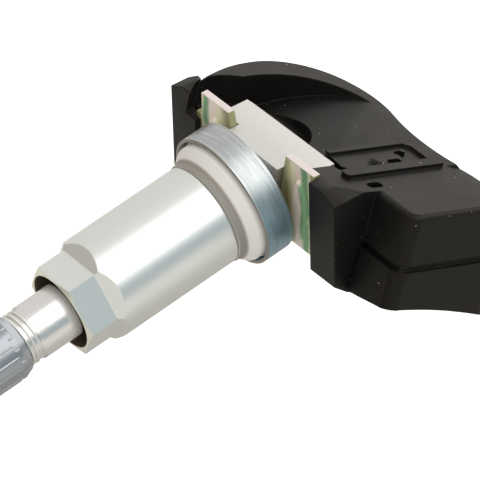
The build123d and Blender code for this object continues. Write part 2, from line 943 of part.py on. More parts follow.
# Welded tab from the cell's upper face, down past its side to the board
tab_y = cell_y + cell_r - tab_side_in
tab_end = cell_x + cell_r - 2 * tab_t
with BuildPart() as tab_positive:
    with BuildSketch(house.offset(cell_z + cell_t)):
        with Locations((tab_end - tab_len / 2, tab_y)):
            Rectangle(tab_len, tab_side_w)
    extrude(amount=tab_t)
    with BuildSketch(house.offset(board_top)):
        with Locations((tab_end - tab_t / 2, tab_y)):
            Rectangle(tab_t, tab_side_w)
    extrude(amount=cell_z + cell_t + tab_t - board_top)
tab_positive.part.label = "tab_positive"
export_step(tab_positive.part, "parts/tab_positive.step")

# Pressure sensor chip, crystal and coil on the board
chip_x = panel_x - chip_in
chip_y = (tray_front + tray_rear) / 2 - 0.3
with BuildPart() as sensor_chip:
    with BuildSketch(house.offset(board_top)):
        with Locations((chip_x, chip_y)):
            Rectangle(chip_len, chip_w)
    extrude(amount=chip_h)
sensor_chip.part.label = "sensor_chip"
export_step(sensor_chip.part, "parts/sensor_chip.step")

with BuildPart() as crystal:
    with BuildSketch(house.offset(board_top)):
        with Locations((chip_x - crystal_in, chip_y + crystal_w / 2)):
            Rectangle(crystal_len, crystal_w)
    extrude(amount=crystal_h)
crystal.part.label = "crystal"
export_step(crystal.part, "parts/crystal.step")

with BuildPart() as antenna_coil:
    with BuildSketch(house.offset(board_top)):
        with Locations((tray_left + coil_in, tray_front + coil_back)):
            Rectangle(coil_len, coil_w)
    extrude(amount=coil_h)
antenna_coil.part.label = "antenna_coil"
export_step(antenna_coil.part, "parts/antenna_coil.step")

# Square gasket between the chip and the roof of its room
with BuildPart() as port_seal:
    with BuildSketch(house.offset(board_top + chip_h)):
        with Locations((chip_x, chip_y)):
            Rectangle(gasket_w, gasket_w)
            Rectangle(gasket_hole, gasket_hole, mode=Mode.SUBTRACT)
    extrude(amount=room_z - board_top - chip_h)
port_seal.part.label = "port_seal"
export_step(port_seal.part, "parts/port_seal.step")
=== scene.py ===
"""Dresses the tyre pressure sensor: a clamp-in metal valve and a black moulded sensor housing."""

import json

import bpy
import numpy as np
from mathutils import Matrix, Vector


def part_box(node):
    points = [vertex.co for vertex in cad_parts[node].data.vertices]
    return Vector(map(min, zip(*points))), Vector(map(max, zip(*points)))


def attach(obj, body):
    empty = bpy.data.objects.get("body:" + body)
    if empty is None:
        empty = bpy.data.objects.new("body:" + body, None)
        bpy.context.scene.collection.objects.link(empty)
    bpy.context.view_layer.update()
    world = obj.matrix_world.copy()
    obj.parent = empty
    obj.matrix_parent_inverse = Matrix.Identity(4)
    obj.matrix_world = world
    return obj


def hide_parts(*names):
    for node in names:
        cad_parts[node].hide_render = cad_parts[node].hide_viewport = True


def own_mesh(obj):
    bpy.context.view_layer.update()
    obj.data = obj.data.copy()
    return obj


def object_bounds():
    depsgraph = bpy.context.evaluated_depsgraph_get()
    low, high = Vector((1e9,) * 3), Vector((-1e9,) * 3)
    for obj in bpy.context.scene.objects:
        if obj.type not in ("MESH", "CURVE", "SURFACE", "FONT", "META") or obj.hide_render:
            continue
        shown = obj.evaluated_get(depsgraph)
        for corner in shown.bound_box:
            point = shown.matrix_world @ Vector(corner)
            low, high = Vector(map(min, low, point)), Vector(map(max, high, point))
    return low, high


bl_info = {
    "name": "Tyre pressure sensor",
    "version": (1, 0, 0),
    "blender": (4, 5, 0),
    "location": "View3D > Sidebar > Sensor",
    "description": "Finishes for the clamp-in tyre valve and its sensor housing, and a studio",
    "category": "Object",
}

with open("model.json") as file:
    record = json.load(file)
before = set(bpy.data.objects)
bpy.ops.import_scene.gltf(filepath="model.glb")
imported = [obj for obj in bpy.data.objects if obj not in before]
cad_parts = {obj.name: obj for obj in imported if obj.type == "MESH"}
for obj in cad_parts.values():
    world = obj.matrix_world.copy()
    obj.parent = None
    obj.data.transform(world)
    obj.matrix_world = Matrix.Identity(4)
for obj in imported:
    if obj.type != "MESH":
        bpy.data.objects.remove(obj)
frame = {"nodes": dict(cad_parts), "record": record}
cad_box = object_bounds()

MM = 0.001
SEAT_TILT = np.radians(10.3)
SHARP_ANGLE = np.radians(50.0)

# Shortest edge that a bevel rounds, and the sizes of the rounds on the CAD nodes, in millimetres
LONG_EDGE = 0.35
HOUSING_ROUND, STEM_ROUND, CLIP_ROUND = 0.14, 0.12, 0.08

# Places where a finish changes, in millimetres: along the valve's axis, and on the clip from the axis
HEAD_START = 3.9
HOLLOW_END = -1.6
CLIP_TOP = 8.38
CLIP_SLOT, CLIP_REACH = 6.2, 6.6

# Linear colours of the studio
WHITE = (1.0, 1.0, 1.0)
WALL_DIM = (0.07, 0.065, 0.06)
WALL_WARM = (0.62, 0.58, 0.52)
WALL_PALE = (0.90, 0.87, 0.82)
WALL_SIDE = (0.78, 0.76, 0.73)
WALL_BRIGHT = (1.95, 1.89, 1.82)
WALL_BLUE = (0.33, 0.42, 0.45)
# Painted shadow: the floor's darker colour near the object
FLOOR_SHADOWED = (0.52, 0.51, 0.49)
FLOOR_FAR = (0.80, 0.79, 0.77)
FLOOR_SEEN = (0.7, 0.7, 0.7)


def span(node, axis):
    """Lowest and highest coordinate of a CAD node along one axis, in millimetres."""
    low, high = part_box(node)
    return low[axis] / MM, high[axis] / MM


# Sizes that the new pieces take from the solids, in millimetres
NUT_FRONT, NUT_BACK = span("collar_nut", 1)
SLEEVE_R = span("collar_nut", 0)[1]
RING_FRONT, RING_BACK = span("seat_ring", 1)
RING_R = span("seat_ring", 0)[1]
NOSE_FRONT, GROMMET_BACK = span("grommet", 1)
GROMMET_R = span("grommet", 0)[1]
CAP_END, CAP_RIM = span("valve_cap", 1)
CAP_R = span("valve_cap", 0)[1]
CAP_ROOF = span("cap_seal", 1)[0]
STEM_TIP = span("valve_stem", 1)[0]
SPRING_START, SPRING_END = span("core_spring", 1)
SPRING_R = span("core_spring", 0)[1]


def length(name, description, millimetres):
    """A length property, kept in metres and shown in the scene's units."""
    return bpy.props.FloatProperty(
        name=name, description=description, default=millimetres * MM, unit="LENGTH", precision=5
    )


def colour(name, description, *rgb):
    """A linear colour property."""
    return bpy.props.FloatVectorProperty(
        name=name, description=description, default=rgb, size=3, subtype="COLOR", min=0, max=1
    )


class ValveSizes(bpy.types.PropertyGroup):
    """Sizes of the valve's turned and moulded pieces that the solids' boxes don't give."""

    hex_across: length("Hex across flats", "Width of the nut over two opposite flats", 12.0)
    flat_length: length("Flat length", "Length of the nut's flats before their run-out", 4.5)
    mouth_radius: length("Mouth radius", "Radius of the wide mouth at the nut's outer end", 5.65)
    mouth_depth: length("Mouth depth", "Depth of the nut's wide mouth", 7.45)
    nut_bore: length("Nut bore radius", "Radius of the nut's threaded bore", 4.98)
    recess_radius: length("Recess radius", "Radius of the recess at the nut's back", 5.95)
    recess_depth: length("Recess depth", "Depth of the recess at the nut's back", 4.45)
    collar_radius: length("Collar radius", "Radius of the stem in the ring and the grommet", 4.9)
    ring_wall: length("Ring wall", "Thickness of the steel ring's wall", 0.5)
    ring_floor: length("Ring floor", "Thickness of the steel ring's floor", 1.3)
    neck_radius: length("Grommet neck radius", "Radius of the grommet beside the nut", 7.9)
    nose_radius: length("Grommet nose radius", "Radius of the nose in the rim's hole", 5.6)
    cap_bore: length("Cap bore radius", "Radius of the cap's bore", 3.95)
    ridge_height: length("Grip ridge height", "Height of the cap's thin grip ridges", 0.09)
    ridges: bpy.props.IntProperty(
        name="Grip ridges", description="Number of grip ridges round the cap", default=16, min=6
    )
    thread_root: length("Thread root radius", "Radius at the foot of the valve thread", 3.62)
    thread_crest: length("Thread crest radius", "Radius at the crest of the valve thread", 3.9)
    thread_pitch: length("Thread pitch", "Distance between two turns of the valve thread", 0.794)
    thread_run: length("Thread run", "Length of the valve thread from the tip", 11.4)
    shank_radius: length("Shank radius", "Radius of the stem between the thread and the nut", 3.995)
    shank_start: length("Shank start", "Distance of the smooth shank from the stem's tip", 12.0)
    shank_length: length("Shank length", "Length of the smooth shank, into the nut's mouth", 9.6)
    lip_start: length("Lip start", "Distance of the first turned lip from the stem's tip", 17.2)
    lip_gap: length("Lip gap", "Distance between the two turned lips", 0.42)
    nut_root: length("Nut thread root radius", "Radius at the foot of the stem's nut thread", 4.78)
    nut_crest: length("Nut thread crest radius", "Radius at the crest of the stem's nut thread", 4.95)
    nut_pitch: length("Nut thread pitch", "Distance between two turns of the nut's thread", 1.0)
    nut_thread_start: length("Nut thread start", "Distance of the nut thread from the tip", 23.6)
    spring_wire: length("Spring wire", "Thickness of the core spring's wire", 0.22)
    spring_turns: bpy.props.FloatProperty(
        name="Spring turns", description="Turns of the core spring", default=5.0, min=2
    )
    edge_round: length("Edge round", "Size of the small rounds on turned edges", 0.12)


class FinishColours(bpy.types.PropertyGroup):
    """Linear colours of the sensor's finishes."""

    nut: colour("Nut", "Satin anodised nut", 0.81, 0.835, 0.82)
    nut_rim: colour("Nut rim", "Pale olive bevel round the nut's mouth", 0.88, 0.89, 0.78)
    nut_mouth: colour("Nut mouth", "Shaded brown inside of the nut's mouth", 0.30, 0.24, 0.19)
    stem: colour("Stem", "Turned stem", 0.81, 0.81, 0.80)
    stem_lip: colour("Stem lip", "Brownish turned lips at the nut's mouth", 0.70, 0.52, 0.44)
    # Painted shade: the stem's dark colour just inside the nut's mouth, where the nut shades it
    stem_inside_shade: colour("Stem inside", "Stained stem inside the nut", 0.12, 0.10, 0.085)
    head: colour("Head", "Matte cast head of the valve", 0.63, 0.625, 0.61)
    cap: colour("Cap", "Grey plastic cap", 0.36, 0.38, 0.41)
    # Painted highlight: the paler tops of the cap's ridges stand for light catching them
    cap_ridge_highlight: colour("Cap ridge", "Rubbed tops of the cap's ridges", 0.56, 0.58, 0.62)
    grommet: colour("Grommet", "Light grey sealing rubber", 0.88, 0.86, 0.83)
    grommet_hollow: colour("Grommet hollow", "Shaded rubber beside the nut", 0.30, 0.28, 0.25)
    ring: colour("Ring", "Plated steel ring", 0.64, 0.68, 0.69)
    ring_stain: colour("Ring stain", "Faint stains on the steel ring", 0.62, 0.66, 0.60)
    # Painted shade with a bluish painted reflection, on the ring's lower right side
    ring_shaded_blue: colour("Ring blue", "Bluish side of the steel ring", 0.26, 0.44, 0.54)
    ring_rim: colour("Ring rim", "Brownish front rim of the steel ring", 0.30, 0.27, 0.24)
    clip_olive: colour("Clip olive", "Dark tone of the clip's passivation", 0.36, 0.35, 0.18)
    # Partly painted light: the pink also serves as a painted highlight on the ribs' lit flanks, the dark
    # green as painted shade under the lug
    clip_green_and_shade: colour("Clip green", "Green tone of the clip's passivation", 0.20, 0.40, 0.22)
    clip_gold: colour("Clip gold", "Gold tone of the clip's passivation", 0.93, 0.90, 0.62)
    clip_pink_and_highlight: colour("Clip pink", "Pink tone of the clip's passivation", 0.98, 0.86, 0.77)
    clip_edge: colour("Clip edge", "Sheared top edge of the clip", 0.70, 0.63, 0.62)
    housing: colour("Housing", "Black moulded housing", 0.0065, 0.006, 0.0055)
    dust: colour("Dust", "Pale specks on the housing", 0.55, 0.54, 0.52)
    rubber: colour("Rubber", "Black seals", 0.018, 0.018, 0.018)
    brass: colour("Brass", "Valve core", 0.72, 0.53, 0.24)
    steel: colour("Steel", "Spring, tabs and washer", 0.60, 0.60, 0.61)
    board: colour("Board", "Solder mask on the circuit board", 0.02, 0.13, 0.06)
    trace: colour("Trace", "Copper traces under the solder mask", 0.05, 0.24, 0.09)
    cell: colour("Cell", "Coin cell", 0.68, 0.68, 0.69)
    chip: colour("Chip", "Sensor chip", 0.03, 0.03, 0.034)
    crystal: colour("Crystal", "Can of the crystal", 0.72, 0.72, 0.74)
    ferrite: colour("Ferrite", "Antenna coil", 0.09, 0.085, 0.08)


class StudioSettings(bpy.types.PropertyGroup):
    """Camera and light of the studio."""

    distance: bpy.props.FloatProperty(
        name="Camera distance", description="Camera to the valve's seat", default=0.7007, unit="LENGTH"
    )
    lens: bpy.props.FloatProperty(
        name="Lens", description="Focal length on a 36 mm sensor", default=387.45, unit="CAMERA"
    )
    aim_right: length("Aim right", "Aim point to the right of the seat's centre, in the picture", 2.433)
    aim_down: length("Aim down", "Aim point below the seat's centre, in the picture", 5.170)
    key_power: bpy.props.FloatProperty(
        name="Overhead light", description="Power of the soft overhead light", default=1.3, unit="POWER"
    )
    fill: bpy.props.FloatProperty(
        name="Fill", description="Strength of the studio's walls", default=1.0, min=0
    )
    floor_drop: length("Floor drop", "Floor below the object's lowest point", 110.0)


class Tone:
    """A shader value. Arithmetic on it adds Math nodes, so that formulas read as formulas."""

    def __init__(self, sheet, socket):
        self.sheet = sheet
        self.socket = socket

    def math(self, operation, *terms, clamp=False):
        """A Math node on up to three terms."""
        inputs = dict(enumerate(terms))
        return self.sheet.node("ShaderNodeMath", {"operation": operation, "use_clamp": clamp}, inputs)

    def __add__(self, other):
        return self.math("ADD", self, other)

    def __radd__(self, other):
        return self.math("ADD", other, self)

    def __sub__(self, other):
        return self.math("SUBTRACT", self, other)

    def __rsub__(self, other):
        return self.math("SUBTRACT", other, self)

    def __mul__(self, other):
        return self.math("MULTIPLY", self, other)

    def __rmul__(self, other):
        return self.math("MULTIPLY", other, self)

    def __truediv__(self, other):
        return self.math("DIVIDE", self, other)

    def __rtruediv__(self, other):
        return self.math("DIVIDE", other, self)

    def __abs__(self):
        return self.math("ABSOLUTE", self)

    def sqrt(self):
        return self.math("SQRT", self)

    def clamped(self):
        """The value, kept between 0 and 1."""
        return self.math("ADD", self, 0.0, clamp=True)

    def step(self, low, high):
        """Rises smoothly from 0 at low to 1 at high."""
        inputs = {0: self, 1: low, 2: high, 3: 0.0, 4: 1.0}
        return self.sheet.node("ShaderNodeMapRange", {"interpolation_type": "SMOOTHSTEP"}, inputs)

    def band(self, low, high, soft):
        """1 between low and high, 0 outside, with soft edges."""
        return self.step(low - soft, low + soft) * (1 - self.step(high - soft, high + soft))


class Sheet:
    """A node tree to write shader formulas on."""

    def __init__(self, tree):
        self.tree = tree

    def feed(self, socket, value):
        """Links a Tone to a socket, or sets the socket to a constant."""
        if isinstance(value, Tone):
            self.tree.links.new(value.socket, socket)
        else:
            socket.default_value = value

    def node(self, kind, settings=None, inputs=None, output=0):
        """Adds a node of a type, sets its settings, then its sockets' values or links.

        It gives one output, or all that a tuple names.
        """
        node = self.tree.nodes.new(kind)
        for key, value in (settings or {}).items():
            if key == "stops":
                self.stops(node.color_ramp, value)
            else:
                setattr(node, key, value)
        for key, value in (inputs or {}).items():
            self.feed(node.inputs[key], value)
        if isinstance(output, tuple):
            return [Tone(self, node.outputs[key]) for key in output]
        return Tone(self, node.outputs[output])

    def split(self, vector):
        """The three parts of a vector."""
        return self.node("ShaderNodeSeparateXYZ", {}, {0: vector}, ("X", "Y", "Z"))

    def seen(self):
        """1 for what the camera looks at, 0 for light and reflections."""
        return self.node("ShaderNodeLightPath", output="Is Camera Ray")

    @staticmethod
    def stops(ramp, stops):
        """Gives a colour ramp its positions and colours, in rising order."""
        while len(ramp.elements) < len(stops):
            ramp.elements.new(1.0)
        for element, (position, shade) in zip(ramp.elements, stops):
            element.position = position
            element.color = (*shade, 1.0)

    def mix(self, factor, a, b):
        """Colour between a and b: a Mix node has its colours at sockets 6 and 7, and at output 2."""
        first, second = (c if isinstance(c, Tone) else (*c, 1) for c in (a, b))
        return self.node("ShaderNodeMix", {"data_type": "RGBA"}, {0: factor, 6: first, 7: second}, 2)

    def ramp(self, value, *stops):
        """Colour of a value, by stops of a position and a colour."""
        return self.node("ShaderNodeValToRGB", {"stops": stops}, {0: value})


class Finish(Sheet):
    """A material with one Principled shader, read in the object's own millimetres."""

    def __init__(self, name, **constants):
        self.material = bpy.data.materials.new(name)
        self.material.use_nodes = True
        super().__init__(self.material.node_tree)
        self.shader = self.tree.nodes["Principled BSDF"]
        self.set(**constants)
        self.place = self.node("ShaderNodeTexCoord", output="Object")
        self.x, self.y, self.z = (part * (1 / MM) for part in self.split(self.place))

    def set(self, **inputs):
        """Sets or links sockets of the shader, named with _ for a space, and gives the material."""
        for socket, value in inputs.items():
            self.feed(self.shader.inputs[socket.replace("_", " ")], value)
        return self.material

    def stretched(self, x, y, z):
        """The object's coordinates, scaled on each axis, for streaks."""
        inputs = {"Vector": self.place, "Scale": (x, y, z)}
        return self.node("ShaderNodeMapping", {"vector_type": "POINT"}, inputs)

    def radius(self):
        """Distance from the valve's axis, in millimetres."""
        return (self.x * self.x + self.z * self.z).sqrt()

    def noise(self, size, detail=2.0, place=None, rough=0.5):
        """Noise with features of a size in millimetres."""
        inputs = {
            "Vector": place or self.place,
            "Scale": 1 / (size * MM),
            "Detail": detail,
            "Roughness": rough,
        }
        return self.node("ShaderNodeTexNoise", {}, inputs)

    def specks(self, spacing, radius, share):
        """Mask of small round specks: the points of a random lattice, of which only a share shows."""
        inputs = {"Vector": self.place, "Scale": 1 / (spacing * MM)}
        distance, tint = self.node("ShaderNodeTexVoronoi", {}, inputs, ("Distance", "Color"))
        near = 1 - distance.step(radius / spacing * 0.6, radius / spacing)
        pick = self.node("ShaderNodeSeparateColor", {}, {0: tint})
        return near * (1 - pick.step(share - 0.01, share + 0.01))

    def bump(self, height, strength, depth):
        """Normal from a height, with a depth in millimetres."""
        inputs = {"Strength": strength, "Distance": depth * MM, "Height": height}
        return self.node("ShaderNodeBump", {}, inputs)


def soft_profile(corners, round_size, steps=5, closed=True):
    """Profile with rounded corners, put in clockwise order. An open one keeps its two ends as they are.

    Each corner P becomes the parabola from P + a(Q - P) to P + b(R - P), with Q and R its neighbours.
    The shares a and b bring the ends to the round's size, or to 0.45 of a short side.
    """
    p = np.array(corners, float)
    ends = []
    for other in (np.roll(p, 1, axis=0), np.roll(p, -1, axis=0)):
        side = np.linalg.norm(other - p, axis=1, keepdims=True)
        share = np.minimum(round_size / side, 0.45)
        if not closed:
            share[[0, -1]] = 0
        ends.append(p + (other - p) * share)
    t = np.linspace(0, 1, steps)[None, :, None]
    curve = (1 - t) ** 2 * ends[0][:, None] + 2 * t * (1 - t) * p[:, None] + t**2 * ends[1][:, None]
    curve = curve.reshape(-1, 2)
    r, y = curve.T
    area = np.sum(r * np.roll(y, -1) - np.roll(r, -1) * y)
    return curve[::-1] if area > 0 else curve


def spread(profile, fine_step, coarse_step, fine, closed=True):
    """Points along a profile, close together where fine(r, y) holds and further apart elsewhere."""
    loop = np.vstack([profile, profile[:1]]) if closed else profile
    along = np.concatenate([[0], np.cumsum(np.linalg.norm(np.diff(loop, axis=0), axis=1))])
    s = np.arange(0, along[-1], fine_step / 4)
    r, y = np.interp(s, along, loop[:, 0]), np.interp(s, along, loop[:, 1])
    weight = np.cumsum(np.where(fine(r, y), 1 / fine_step, 1 / coarse_step)) * (fine_step / 4)
    picks = np.interp(np.arange(0, int(weight[-1])), weight, s)
    picks = np.unique(np.concatenate([picks, along[:-1] if closed else along]))
    return np.column_stack([np.interp(picks, along, loop[:, 0]), np.interp(picks, along, loop[:, 1])])


def grid_mesh(name, points, closed=True):
    """Mesh of a grid of points, in millimetres, whose columns close on themselves.

    Its rows close on themselves too, or else a flat face fills the first row and another the last row.
    """
    rows, columns = points.shape[:2]
    index = np.arange(rows * columns).reshape(rows, columns)
    here, down = (index, np.roll(index, -1, axis=0)) if closed else (index[:-1], index[1:])
    quads = np.stack([here, np.roll(here, -1, axis=1), np.roll(down, -1, axis=1), down], axis=-1)
    ends = [] if closed else [index[0, ::-1].tolist(), index[-1].tolist()]
    mesh = bpy.data.meshes.new(name)
    mesh.from_pydata((points.reshape(-1, 3) * MM).tolist(), [], quads.reshape(-1, 4).tolist() + ends)
    mesh.polygons.foreach_set("use_smooth", np.ones(len(mesh.polygons), bool))
    mesh.update()
    return mesh


def lathe(radius, height, steps):
    """Surface of a profile turned about the Y axis: x = r cos a, y = height, z = r sin a.

    The radius r is a row along the profile, or a grid where it varies with the angle a too.
    """
    angle = np.linspace(0, 2 * np.pi, steps, endpoint=False)
    r = radius if radius.ndim > 1 else np.repeat(radius[:, None], steps, 1)
    y = np.repeat(height[:, None], steps, 1)
    return np.stack([r * np.cos(angle), y, r * np.sin(angle)], axis=-1)


def thread(name, start, run, pitch, root, crest):
    """Mesh of a right-handed thread about the Y axis, which fades out over half a turn at both ends.

    A five-sided section follows x = r cos a, y = start + pitch a / 2 pi, z = -r sin a.
    Its corners are set across the thread, in pitches, and lifted from the root, in thread heights.
    """
    turns = run / pitch
    steps_per_turn = 72
    t = np.linspace(0, turns, int(turns * steps_per_turn))[:, None]
    fade = np.clip(np.minimum(t, turns - t) / 0.5, 0.02, 1)
    across = np.array([0.48, 0.10, -0.10, -0.48, 0.0])
    lift = np.array([0.0, 1.0, 1.0, 0.0, -0.3])
    angle = 2 * np.pi * t
    radius = root + (crest - root) * lift * fade
    y = start + pitch * (t + across * fade)
    points = np.stack([radius * np.cos(angle), y, -radius * np.sin(angle)], axis=-1)
    return grid_mesh(name, points, closed=False)


def coil(name, start, end, radius, wire, turns):
    """Mesh of a coil spring: a round wire whose middle goes x = r cos a, z = -r sin a about the Y axis.

    Its height is start + (end - start)(t - 0.8 sin(2 pi t) / 2 pi), with t from 0 to 1 along the wire,
    so it rises slowly at both ends and the end turns close.
    """
    steps_per_turn, sides = 40, 10
    t = np.linspace(0, 1, int(turns * steps_per_turn))
    angle = 2 * np.pi * turns * t
    outward = np.stack([np.cos(angle), 0 * t, -np.sin(angle)], axis=-1)
    y = start + (end - start) * (t - 0.8 * np.sin(2 * np.pi * t) / (2 * np.pi))
    middle = outward * radius + np.stack([0 * t, y, 0 * t], axis=-1)
    along = np.gradient(middle, t, axis=0)
    side = np.cross(along, outward)
    side /= np.linalg.norm(side, axis=1, keepdims=True)
    turn = np.linspace(0, 2 * np.pi, sides, endpoint=False)[None, :, None]
    round_wire = np.cos(turn) * outward[:, None] + np.sin(turn) * side[:, None]
    return grid_mesh(name, middle[:, None] + wire / 2 * round_wire, closed=False)


def soft_min(a, b, size):
    """The smaller of a and b, with their crossing rounded over a size."""
    h = np.clip(0.5 + 0.5 * (b - a) / size, 0, 1)
    return b * (1 - h) + a * h - size * h * (1 - h)


def rise(distance, run):
    """Goes up in a straight line from 0 at 0 to 1 at the run."""
    return np.clip(distance / run, 0, 1)


def bead(turn):
    """Narrow trapezoid of height 1 round each whole number."""
    return np.clip(1.4 - 24 * np.abs((turn + 0.5) % 1 - 0.5), 0, 1)


def place_piece(mesh, material, body, slot, *nodes):
    """Puts a mesh into the scene as a piece that rides on a body and may stand for CAD nodes."""
    piece = bpy.data.objects.new(mesh.name, mesh)
    bpy.context.scene.collection.objects.link(piece)
    mesh.materials.append(material)
    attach(piece, body)
    if nodes:
        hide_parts(*nodes)
    return piece


def node_group(name, fill):
    """The node group of a name, which takes a mesh and gives one back. The first use fills it."""
    if name in bpy.data.node_groups:
        return bpy.data.node_groups[name]
    tree = bpy.data.node_groups.new(name, "GeometryNodeTree")
    for way in ("INPUT", "OUTPUT"):
        tree.interface.new_socket("Geometry", in_out=way, socket_type="NodeSocketGeometry")
    sheet = Sheet(tree)
    mesh = fill(sheet, sheet.node("NodeGroupInput"))
    sheet.node("NodeGroupOutput", {}, {0: mesh}, ())
    return tree


def above(sheet, value, limit):
    """Mask of the edges where a value is above a limit."""
    return sheet.node("FunctionNodeCompare", {"operation": "GREATER_THAN"}, {0: value, 1: limit})


def sharp_edges(sheet):
    """Mask of the edges that turn by more than the sharp angle."""
    return above(sheet, sheet.node("GeometryNodeInputMeshEdgeAngle"), SHARP_ANGLE)


def smooth_shading(sheet, mesh):
    """Shades a mesh smooth, and keeps its sharp edges."""
    inputs = {"Geometry": mesh, "Shade Smooth": True}
    mesh = sheet.node("GeometryNodeSetShadeSmooth", {"domain": "FACE"}, inputs)
    inputs = {"Geometry": mesh, "Selection": sharp_edges(sheet), "Shade Smooth": False}
    return sheet.node("GeometryNodeSetShadeSmooth", {"domain": "EDGE"}, inputs)


def edge_weights(sheet, mesh):
    """Weights the edges that a bevel rounds: the sharp ones, without the short edges of small holes."""
    ends = sheet.node("GeometryNodeInputMeshEdgeVertices", output=("Position 1", "Position 2"))
    size = sheet.node("ShaderNodeVectorMath", {"operation": "DISTANCE"}, dict(enumerate(ends)), "Value")
    rounded = sharp_edges(sheet) * above(sheet, size, LONG_EDGE * MM)
    settings = {"data_type": "FLOAT", "domain": "EDGE"}
    inputs = {"Geometry": mesh, "Name": "bevel_weight_edge", "Value": rounded}
    return sheet.node("GeometryNodeStoreNamedAttribute", settings, inputs)


def finish_node(node, material, bevel=0.0):
    """Gives a CAD node its material, smoothly shaded faces and, if asked, small rounds on its edges."""
    piece = frame["nodes"][node]
    piece.data.materials.clear()
    piece.data.materials.append(material)
    weld = piece.modifiers.new("Merge", "WELD")
    weld.merge_threshold = 0.001 * MM
    if bevel:
        flat = piece.modifiers.new("Flat faces", "DECIMATE")
        flat.decimate_type = "DISSOLVE"
        flat.angle_limit = np.radians(1.0)
        weights = piece.modifiers.new("Edge weights", "NODES")
        weights.node_group = node_group("Weight long sharp edges", edge_weights)
        rounds = piece.modifiers.new("Edge rounds", "BEVEL")
        rounds.width = bevel * MM
        rounds.segments = 3
        rounds.limit_method = "WEIGHT"
        rounds.use_clamp_overlap = False
    smooth_faces(piece)


def smooth_faces(piece):
    """Shades a piece smooth between its sharp edges, with its large faces flat."""
    shade = piece.modifiers.new("Shading", "NODES")
    shade.node_group = node_group("Shade turned faces", smooth_shading)
    normals = piece.modifiers.new("Flat large faces", "WEIGHTED_NORMAL")
    normals.weight = 80
    normals.keep_sharp = True


def seat_height(finish):
    """Height in the tilted frame of the valve's seat, in millimetres."""
    return finish.y * float(np.sin(SEAT_TILT)) + finish.z * float(np.cos(SEAT_TILT))


def toned(tint, factor):
    """A colour made darker or lighter."""
    return tuple(factor * part for part in tint)


def nut_finish(colours, sizes):
    """Satin anodised aluminium with faint grain, a pale front bevel and a shaded brown mouth."""
    f = Finish("satin_nut", Metallic=1.0)
    grain = f.noise(0.12, 3.0)
    streaks = f.noise(0.5, 2.0, f.stretched(1, 0.08, 1))
    radius, wall = f.radius(), sizes.mouth_radius / MM
    mouth = 1 - radius.step(wall + 0.01, wall + 0.04)
    # the front bevel rises by 0.22 of its width, from the mouth's small round outwards
    bevel = NUT_FRONT + (radius - wall - 0.05) * 0.22
    rim = 1 - f.y.step(bevel + 0.02, bevel + 0.05)
    tone = f.mix(grain * 0.10 + streaks * 0.10, colours.nut, toned(colours.nut, 0.9))
    tone = f.mix(rim, tone, colours.nut_rim)
    return f.set(
        Base_Color=f.mix(mouth, tone, colours.nut_mouth),
        Roughness=0.29 + grain * 0.05 + streaks * 0.06 + mouth * 0.25,
        Normal=f.bump(grain, 0.05, 0.01),
    )


def stem_finish(colours, sizes):
    """Turned stem with fine lines round it, brown lips and painted shade in the nut, and a matte cast
    head.
    """
    f = Finish("turned_stem")
    head = f.y.step(HEAD_START, HEAD_START + 0.5)
    turned = f.noise(0.05, 2.0, f.stretched(0.02, 1, 0.02))
    scratch = f.noise(0.35, 4.0, f.stretched(1, 0.2, 1))
    first = STEM_TIP + sizes.lip_start / MM
    second = first + sizes.lip_gap / MM
    shade_start = second + 0.2
    lips = f.y.band(first - 0.05, first + 0.05, 0.05) + f.y.band(second - 0.05, second + 0.05, 0.05)
    # painted shade: a dark band on the stem just inside the nut's mouth
    inside = f.y.band(shade_start, shade_start + 2.8, 0.1)
    stem = f.mix(lips.clamped() * 0.5, colours.stem, colours.stem_lip)
    stem = f.mix(inside, stem, colours.stem_inside_shade)
    # the rubbed band at the nut's mouth is duller than bare metal
    rubbed = f.y.band(NUT_FRONT - 0.9, shade_start, 0.3)
    cast = f.mix(scratch.step(0.55, 0.75) * 0.2, colours.head, toned(colours.head, 0.75))
    return f.set(
        Base_Color=f.mix(head, stem, cast),
        Metallic=1 - rubbed * 0.75,
        Roughness=0.25 + turned * 0.06 * (1 - head) + head * (0.22 + scratch * 0.12) + inside * 0.2,
        Normal=f.bump(turned * (1 - head) + scratch * head, 0.05, 0.02),
    )


def cap_finish(colours):
    """Grey moulded plastic with a slight sheen and a painted highlight on the paler tops of its ridges.
    """
    f = Finish("cap_plastic", Metallic=0.75)
    grain = f.noise(0.2, 3.0)
    # painted highlight on the ridge tops
    ridge_highlight = f.radius().step(CAP_R - 0.02, CAP_R + 0.03)
    tone = f.mix(grain * 0.4, colours.cap, toned(colours.cap, 0.8))
    return f.set(
        Base_Color=f.mix(ridge_highlight, tone, colours.cap_ridge_highlight),
        Roughness=0.20 + grain * 0.12,
        Normal=f.bump(grain, 0.06, 0.02),
    )


def grommet_finish(colours, sizes):
    """Light grey moulded rubber, darker in the hollow beside the nut."""
    f = Finish("grommet_rubber")
    grain = f.noise(0.15, 3.0)
    patch = f.noise(2.5, 2.0)
    neck = sizes.neck_radius / MM
    hollow = (1 - f.radius().step(neck - 0.15, neck + 0.25)) * f.y.band(NUT_BACK, HOLLOW_END, 0.1)
    tone = f.mix(patch * 0.35 + grain * 0.15, colours.grommet, toned(colours.grommet, 0.85))
    return f.set(
        Base_Color=f.mix(hollow, tone, colours.grommet_hollow),
        Roughness=0.52 + grain * 0.15,
        Normal=f.bump(grain, 0.10, 0.02),
    )


